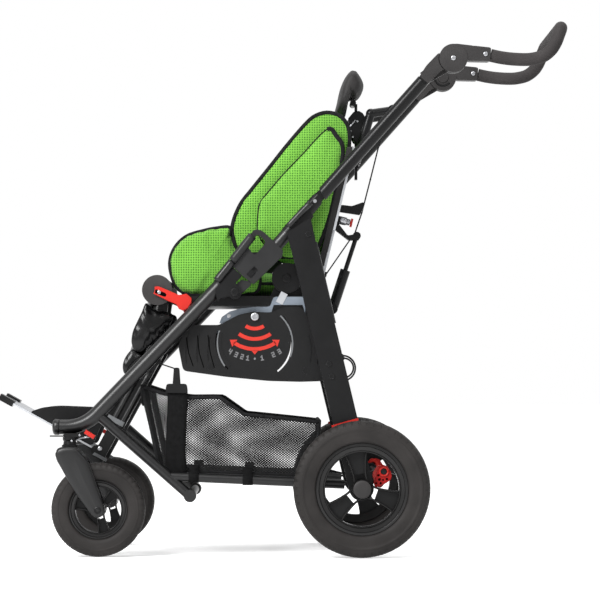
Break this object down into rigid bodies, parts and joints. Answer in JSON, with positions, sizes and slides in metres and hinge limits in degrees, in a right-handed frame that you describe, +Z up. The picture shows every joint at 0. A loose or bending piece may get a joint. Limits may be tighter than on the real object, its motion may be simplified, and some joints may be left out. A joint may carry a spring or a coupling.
{
  "type": "special needs buggy",
  "caption": "Folding wheeled buggy with a tilting, reclining padded seat, leg rest, swivel casters, large rear wheels, hinged push bar and an open basket under the seat.",
  "frame": {"origin": "on the ground, under the middle of the box around the part", "axes": "+Z up, -X towards the front, +Y towards the right side of someone in the seat"},
  "size_m": [1.2458, 0.5834, 1.1665],
  "materials": {
    "black_plastic": "moulded",
    "black_tube": "gloss black",
    "grey_casting": "satin grey",
    "dark_metal": "satin black",
    "steel": "brushed",
    "alloy": "brushed",
    "blue_grey": "satin",
    "red": "gloss",
    "green_mesh": "spacer mesh",
    "black_vinyl": "shiny vinyl",
    "black_cloth": "woven",
    "tyre": "matte",
    "wheel": "gloss",
    "foam": "foam"
  },
  "bodies": {
    "chassis": {"rear_leg_left": "black_plastic", "rear_leg_right": "black_plastic", "leg_dampers": "red", "mid_tubes": "black_tube", "hinge_bracket_left": "grey_casting", "hinge_bracket_right": "grey_casting", "cross_tubes": "dark_metal", "tilt_panel_left": "black_plastic", "tilt_panel_right": "black_plastic", "brake_cables": "black_plastic", "chassis_bolts": "steel"},
    "front_frame": {"front_tube_left": "black_tube", "front_tube_right": "black_tube", "fold_plates": "black_plastic", "lower_frame": "black_tube", "front_fittings": "black_plastic", "basket": "black_cloth", "basket_strap": "black_cloth", "basket_hook": "steel"},
    "fold_slider_left": {"fold_lock_left": "black_plastic"},
    "fold_slider_right": {"fold_lock_right": "black_plastic"},
    "push_frame": {"push_tube_left": "dark_metal", "push_tube_right": "dark_metal"},
    "push_bar": {"push_arms": "black_plastic", "push_grip": "foam"},
    "bar_button_left": {"push_button_left": "black_plastic"},
    "bar_button_right": {"push_button_right": "black_plastic"},
    "caster_left": {"caster_fork_left": "wheel"},
    "caster_right": {"caster_fork_right": "wheel"},
    "front_wheel_left": {"front_tyre_left": "tyre", "front_rim_left": "wheel"},
    "front_wheel_right": {"front_tyre_right": "tyre", "front_rim_right": "wheel"},
    "swivel_pin_left": {"swivel_lock_left": "red"},
    "swivel_pin_right": {"swivel_lock_right": "red"},
    "rear_wheel_left": {"rear_tyre_left": "tyre", "rear_rim_left": "wheel"},
    "rear_wheel_right": {"rear_tyre_right": "tyre", "rear_rim_right": "wheel"},
    "brake": {"brake_bar": "red"},
    "seat": {"seat_base": "black_plastic", "tilt_plates": "blue_grey", "seat_cushion": "green_mesh", "seat_bolsters": "green_mesh"},
    "back": {"back_frame": "alloy", "back_cushion": "green_mesh", "back_wings": "green_mesh", "lateral_pads": "green_mesh", "back_fittings": "dark_metal"},
    "latch": {"t_pin": "red"},
    "strut": {"strut_barrel": "dark_metal"},
    "headrest": {"headrest_stem": "steel", "headrest_pad": "black_vinyl"},
    "leg_rest": {"leg_bars": "dark_metal", "calf_pad": "black_vinyl"},
    "knee_clamp_left": {"knee_lever_left": "red"},
    "knee_clamp_right": {"knee_lever_right": "red"},
    "foot_slide": {"foot_bars": "alloy"},
    "foot": {"foot_plate": "alloy", "foot_trim": "black_plastic"}
  },
  "joints": [
    {"name": "front_fold", "type": "hinge", "parent": "chassis", "child": "front_frame", "pos_m": [-0.098, 0, 0.572], "axis": [0, -1, 0], "range_deg": [0, 26]},
    {"name": "push_fold", "type": "hinge", "parent": "chassis", "child": "push_frame", "pos_m": [0.07573, 0, 0.76961], "axis": [0, -1, 0], "range_deg": [0, 120]},
    {"name": "push_bar_angle", "type": "hinge", "parent": "push_frame", "child": "push_bar", "pos_m": [0.377, 0, 1.081], "axis": [0, 1, 0], "range_deg": [-80, 60]},
    {"name": "seat_tilt", "type": "hinge", "parent": "chassis", "child": "seat", "pos_m": [-0.055, 0, 0.519], "axis": [0, 1, 0], "range_deg": [0, 30]},
    {"name": "back_recline", "type": "hinge", "parent": "seat", "child": "back", "pos_m": [0.015, 0, 0.604], "axis": [0, 1, 0], "range_deg": [0, 30]},
    {"name": "strut_swing", "type": "hinge", "parent": "seat", "child": "strut", "pos_m": [0.118, 0, 0.54], "axis": [0, 1, 0], "range_deg": [0, 30]},
    {"name": "headrest_height", "type": "slide", "parent": "back", "child": "headrest", "axis": [0, 0, 1], "range_m": [0, 0.035]},
    {"name": "latch_pull", "type": "slide", "parent": "back", "child": "latch", "axis": [0.9724, 0, -0.2334], "range_m": [0, 0.008], "stiffness_N_per_m": 400},
    {"name": "leg_rest_angle", "type": "hinge", "parent": "seat", "child": "leg_rest", "pos_m": [-0.269, 0, 0.578], "axis": [0, 1, 0], "range_deg": [0, 60]},
    {"name": "leg_length", "type": "slide", "parent": "leg_rest", "child": "foot_slide", "axis": [0.4787, 0, 0.878], "range_m": [0, 0.036]},
    {"name": "foot_flip", "type": "hinge", "parent": "foot_slide", "child": "foot", "pos_m": [-0.404, 0, 0.226], "axis": [0, 1, 0], "range_deg": [0, 60]},
    {"name": "brake_pedal", "type": "hinge", "parent": "chassis", "child": "brake", "pos_m": [0.212, 0, 0.176], "axis": [0, 1, 0], "range_deg": [0, 20]},
    {"name": "fold_lock_left", "type": "slide", "parent": "chassis", "child": "fold_slider_left", "axis": [0.6921, 0, 0.7218], "range_m": [0, 0.0075], "stiffness_N_per_m": 300},
    {"name": "bar_button_left", "type": "slide", "parent": "push_bar", "child": "bar_button_left", "axis": [0, -1, 0], "range_m": [0, 0.003], "stiffness_N_per_m": 400},
    {"name": "caster_swivel_left", "type": "hinge", "parent": "front_frame", "child": "caster_left", "pos_m": [-0.454, -0.225, 0.24], "axis": [0, 0, 1], "continuous": true},
    {"name": "front_wheel_left", "type": "hinge", "parent": "caster_left", "child": "front_wheel_left", "pos_m": [-0.392, -0.225, 0.1015], "axis": [0, 1, 0], "continuous": true},
    {"name": "swivel_lock_left", "type": "slide", "parent": "front_frame", "child": "swivel_pin_left", "axis": [1, 0, 0], "range_m": [0, 0.006]},
    {"name": "rear_wheel_left", "type": "hinge", "parent": "chassis", "child": "rear_wheel_left", "pos_m": [0.176, -0.267, 0.147], "axis": [0, 1, 0], "continuous": true},
    {"name": "knee_clamp_left", "type": "hinge", "parent": "leg_rest", "child": "knee_clamp_left", "pos_m": [-0.266, -0.165, 0.576], "axis": [0, -1, 0], "range_deg": [0, 30]},
    {"name": "fold_lock_right", "type": "slide", "parent": "chassis", "child": "fold_slider_right", "axis": [0.6921, 0, 0.7218], "range_m": [0, 0.0075], "stiffness_N_per_m": 300},
    {"name": "bar_button_right", "type": "slide", "parent": "push_bar", "child": "bar_button_right", "axis": [0, 1, 0], "range_m": [0, 0.003], "stiffness_N_per_m": 400},
    {"name": "caster_swivel_right", "type": "hinge", "parent": "front_frame", "child": "caster_right", "pos_m": [-0.454, 0.225, 0.24], "axis": [0, 0, 1], "continuous": true},
    {"name": "front_wheel_right", "type": "hinge", "parent": "caster_right", "child": "front_wheel_right", "pos_m": [-0.392, 0.225, 0.1015], "axis": [0, 1, 0], "continuous": true},
    {"name": "swivel_lock_right", "type": "slide", "parent": "front_frame", "child": "swivel_pin_right", "axis": [1, 0, 0], "range_m": [0, 0.006]},
    {"name": "rear_wheel_right", "type": "hinge", "parent": "chassis", "child": "rear_wheel_right", "pos_m": [0.176, 0.267, 0.147], "axis": [0, 1, 0], "continuous": true},
    {"name": "knee_clamp_right", "type": "hinge", "parent": "leg_rest", "child": "knee_clamp_right", "pos_m": [-0.266, 0.165, 0.576], "axis": [0, -1, 0], "range_deg": [0, 30]}
  ],
  "couplings": [
    {"joint": "strut_swing", "follows": "back_recline", "ratio": 1}
  ]
}
